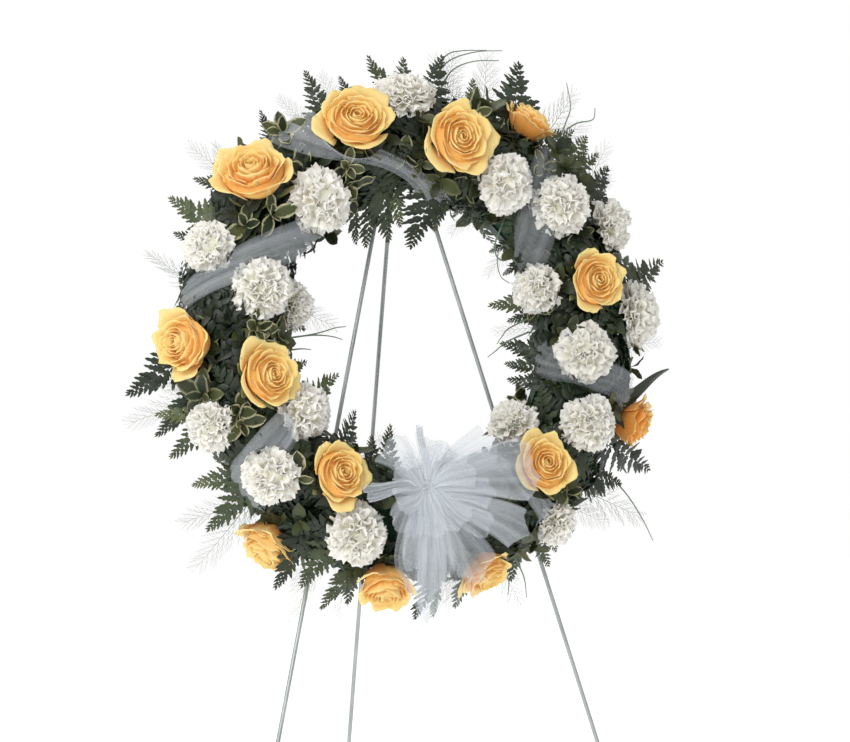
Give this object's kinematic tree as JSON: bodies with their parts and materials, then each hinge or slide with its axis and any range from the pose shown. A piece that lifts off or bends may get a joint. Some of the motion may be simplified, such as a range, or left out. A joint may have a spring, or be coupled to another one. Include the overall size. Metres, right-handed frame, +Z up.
{
  "type": "funeral wreath on easel",
  "caption": "Round wreath of roses, carnations, fern and tulle with a bow, hung on a three-legged folding wire easel.",
  "frame": {"origin": "middle of the bounding box in X and Y, on the floor under the easel's feet", "axes": "+Z up, the wreath faces -Y, +X to the viewer's right"},
  "size_m": [0.7114, 0.4573, 1.2811],
  "materials": {
    "easel_wire": "silver-grey paint, satin",
    "hook_wire": "silver-grey paint, satin",
    "vinyl_tip": "matt grey vinyl",
    "tray_plastic": "matt dark green",
    "wet_foam": "matt, fine-pored, soaked with water",
    "rose": "apricot-yellow petals, velvety",
    "carnation": "white ruffled petals, matt",
    "fern": "dark green fronds, slightly glossy",
    "pittosporum": "olive leaves with cream edges",
    "tulle": "sheer blue-grey net"
  },
  "bodies": {
    "stand_and_wreath": {"carnation_01": "carnation", "carnation_02": "carnation", "carnation_03": "carnation", "carnation_04": "carnation", "carnation_05": "carnation", "carnation_06": "carnation", "carnation_07": "carnation", "carnation_08": "carnation", "carnation_09": "carnation", "carnation_10": "carnation", "carnation_11": "carnation", "carnation_12": "carnation", "carnation_13": "carnation", "carnation_14": "carnation", "carnation_15": "carnation", "carnation_16": "carnation", "carnation_17": "carnation", "carnation_18": "carnation", "fern_bottom_left": "fern", "fern_bottom_right": "fern", "fern_inner_left": "fern", "fern_inner_right": "fern", "fern_inner_top": "fern", "fern_left": "fern", "fern_lower_right": "fern", "fern_right": "fern", "fern_top_left": "fern", "fern_top_right": "fern", "fern_upper_left": "fern", "foam_ring": "wet_foam", "foot_tip_left": "vinyl_tip", "foot_tip_right": "vinyl_tip", "front_leg_left": "easel_wire", "front_leg_right": "easel_wire", "hanging_loop": "hook_wire", "pittosporum_upper_right": "pittosporum", "ring_tray": "tray_plastic", "rose_01": "rose", "rose_02": "rose", "rose_03": "rose", "rose_04": "rose", "rose_05": "rose", "rose_06": "rose", "rose_07": "rose", "rose_08": "rose", "rose_09": "rose", "rose_10": "rose", "rose_11": "rose", "rose_12": "rose", "rose_13": "rose", "stop_bar": "easel_wire", "top_crossbar": "easel_wire", "tray_rib_left": "tray_plastic", "tray_rib_right": "tray_plastic", "tulle_bow": "tulle", "tulle_garland": "tulle", "tulle_tails": "tulle", "wreath_hook": "hook_wire"},
    "rear_leg": {"rear_leg": "easel_wire", "foot_tip_rear": "vinyl_tip"}
  },
  "joints": [
    {"name": "rear_leg_fold", "type": "hinge", "parent": "stand_and_wreath", "child": "rear_leg", "pos_m": [0.016, 0.00004, 1.15921], "axis": [-1, 0, 0], "range_deg": [0, 18]}
  ]
}
